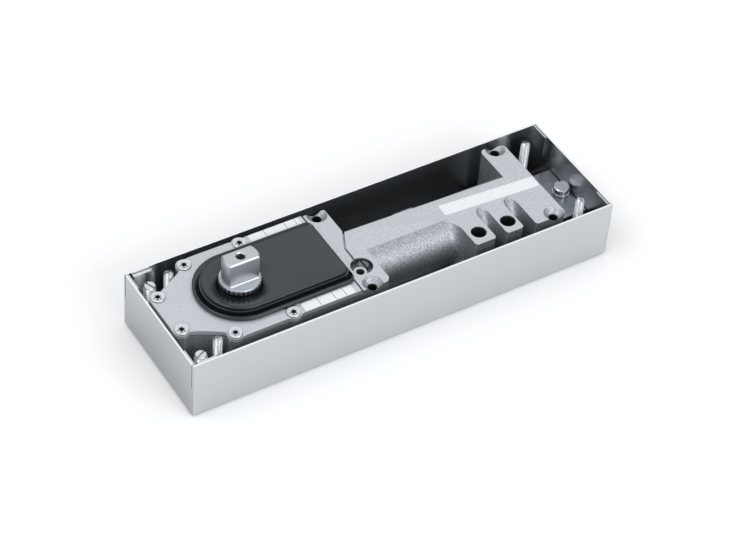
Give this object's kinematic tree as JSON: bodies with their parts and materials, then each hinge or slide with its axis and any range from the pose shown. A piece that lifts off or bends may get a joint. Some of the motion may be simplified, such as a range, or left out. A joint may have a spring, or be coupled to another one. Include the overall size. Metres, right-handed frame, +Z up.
{
  "type": "floor-mounted door closer",
  "caption": "Door closer for setting into the floor: cast body with cam, piston and spring under a flat-sided spindle, lying in an open-topped sheet cement box with cover studs.",
  "frame": {"origin": "centre of the cement box's underside", "axes": "+X along the box from the spindle end to the spring end, +Y to the back, away from the adjusting valves, +Z up along the spindle"},
  "size_m": [0.288, 0.084, 0.0687],
  "materials": {
    "box_sheet": "galvanised, satin",
    "casting": "sand cast, zinc grey, machined deck",
    "cover_casting": "fine cast, zinc grey",
    "black_plastic": "satin black",
    "spindle_steel": "sintered grey steel",
    "bright_zinc": "bright zinc plated",
    "plain_steel": "oiled steel",
    "bracket_steel": "zinc plated sheet",
    "label_film": "printed film, left bare",
    "spring_steel": "shot peened spring steel",
    "seal_rubber": "nitrile",
    "gasket_fibre": "fibre gasket",
    "bronze": "bearing bronze"
  },
  "bodies": {
    "closer_and_box": {"cement_box": "box_sheet", "stud_nuts": "bright_zinc", "left_carrier": "bracket_steel", "end_bracket": "bracket_steel", "carrier_screws": "bright_zinc", "clamp_pillar": "bright_zinc", "clamp_washer": "bright_zinc", "clamp_screw": "bright_zinc", "closer_housing": "casting", "cap_gasket": "gasket_fibre", "cap_plate": "cover_casting", "cap_screws": "bright_zinc", "shroud": "black_plastic", "label_strips": "label_film", "shaft_seal": "seal_rubber", "upper_bearing_cup": "plain_steel", "lower_bearing_cup": "plain_steel", "thrust_washer": "bronze", "closing_spring": "spring_steel", "end_plug": "plain_steel", "end_plug_ring": "seal_rubber", "filler_plug": "plain_steel"},
    "spindle": {"spindle_shaft": "plain_steel", "spindle_head": "spindle_steel", "cam_disc": "plain_steel", "cam_key": "plain_steel", "cam_circlip": "spring_steel"},
    "upper_cage": {"upper_needle_cage": "plain_steel"},
    "lower_cage": {"lower_needle_cage": "plain_steel"},
    "piston_group": {"piston": "plain_steel", "piston_seal": "seal_rubber", "check_valve": "bronze", "roller_pin": "plain_steel"},
    "roller": {"cam_roller": "plain_steel"},
    "seat": {"spring_seat": "plain_steel"},
    "adjuster": {"force_screw": "plain_steel"},
    "closing_valve": {"closing_speed_valve": "plain_steel"},
    "latching_valve": {"latching_speed_valve": "plain_steel"},
    "hold_valve": {"hold_open_valve": "bright_zinc"},
    "front_level": {"level_screw_front": "bright_zinc"},
    "back_level": {"level_screw_back": "bright_zinc"},
    "front_left_stud": {"cover_stud_front_left": "bright_zinc"},
    "back_left_stud": {"cover_stud_back_left": "bright_zinc"},
    "front_right_stud": {"cover_stud_front_right": "bright_zinc"},
    "back_right_stud": {"cover_stud_back_right": "bright_zinc"}
  },
  "joints": [
    {"name": "spindle_turn", "type": "hinge", "parent": "closer_and_box", "child": "spindle", "pos_m": [-0.091, 0, 0.05], "axis": [0, 0, 1], "range_deg": [0, 130]},
    {"name": "piston_slide", "type": "slide", "parent": "closer_and_box", "child": "piston_group", "axis": [1, 0, 0], "range_m": [0, 0.01199], "stiffness_N_per_m": 60000, "deforming": ["closing_spring"]},
    {"name": "roller_spin", "type": "hinge", "parent": "piston_group", "child": "roller", "pos_m": [-0.0735, 0, 0.0238], "axis": [0, 0, 1], "continuous": true},
    {"name": "upper_cage_turn", "type": "hinge", "parent": "closer_and_box", "child": "upper_cage", "pos_m": [-0.091, 0, 0.0367], "axis": [0, 0, 1], "range_deg": [0, 60]},
    {"name": "lower_cage_turn", "type": "hinge", "parent": "closer_and_box", "child": "lower_cage", "pos_m": [-0.091, 0, 0.0096], "axis": [0, 0, 1], "range_deg": [0, 60]},
    {"name": "force_screw_turn", "type": "hinge", "parent": "closer_and_box", "child": "adjuster", "pos_m": [0.0985, 0, 0.0238], "axis": [1, 0, 0], "range_deg": [-1080, 1440]},
    {"name": "spring_seat_slide", "type": "slide", "parent": "closer_and_box", "child": "seat", "axis": [1, 0, 0], "range_m": [-0.0051, 0.0038]},
    {"name": "closing_valve_turn", "type": "hinge", "parent": "closer_and_box", "child": "closing_valve", "pos_m": [0.0577, -0.025, 0.0285], "axis": [0, 0, 1], "range_deg": [-360, 360]},
    {"name": "latching_valve_turn", "type": "hinge", "parent": "closer_and_box", "child": "latching_valve", "pos_m": [0.0785, -0.025, 0.0285], "axis": [0, 0, 1], "range_deg": [-360, 360]},
    {"name": "hold_open_valve_turn", "type": "hinge", "parent": "closer_and_box", "child": "hold_valve", "pos_m": [-0.0167, -0.0155, 0.0392], "axis": [0, 0, 1], "range_deg": [-360, 360]},
    {"name": "level_front_turn", "type": "hinge", "parent": "closer_and_box", "child": "front_level", "pos_m": [-0.133, -0.031, 0.02], "axis": [0, 0, 1], "range_deg": [-720, 720]},
    {"name": "level_back_turn", "type": "hinge", "parent": "closer_and_box", "child": "back_level", "pos_m": [-0.133, 0.031, 0.02], "axis": [0, 0, 1], "range_deg": [-720, 720]},
    {"name": "cover_stud_front_left_height", "type": "slide", "parent": "closer_and_box", "child": "front_left_stud", "axis": [0, 0, 1], "range_m": [0, 0.005]},
    {"name": "cover_stud_back_left_height", "type": "slide", "parent": "closer_and_box", "child": "back_left_stud", "axis": [0, 0, 1], "range_m": [0, 0.005]},
    {"name": "cover_stud_front_right_height", "type": "slide", "parent": "closer_and_box", "child": "front_right_stud", "axis": [0, 0, 1], "range_m": [0, 0.005]},
    {"name": "cover_stud_back_right_height", "type": "slide", "parent": "closer_and_box", "child": "back_right_stud", "axis": [0, 0, 1], "range_m": [0, 0.005]}
  ],
  "couplings": [
    {"joint": "spindle_turn", "follows": "piston_slide", "rad_per_m": 189.08},
    {"joint": "upper_cage_turn", "follows": "piston_slide", "rad_per_m": 86.599},
    {"joint": "lower_cage_turn", "follows": "piston_slide", "rad_per_m": 83.952},
    {"joint": "spring_seat_slide", "follows": "force_screw_turn", "m_per_rad": -0.00019894}
  ]
}
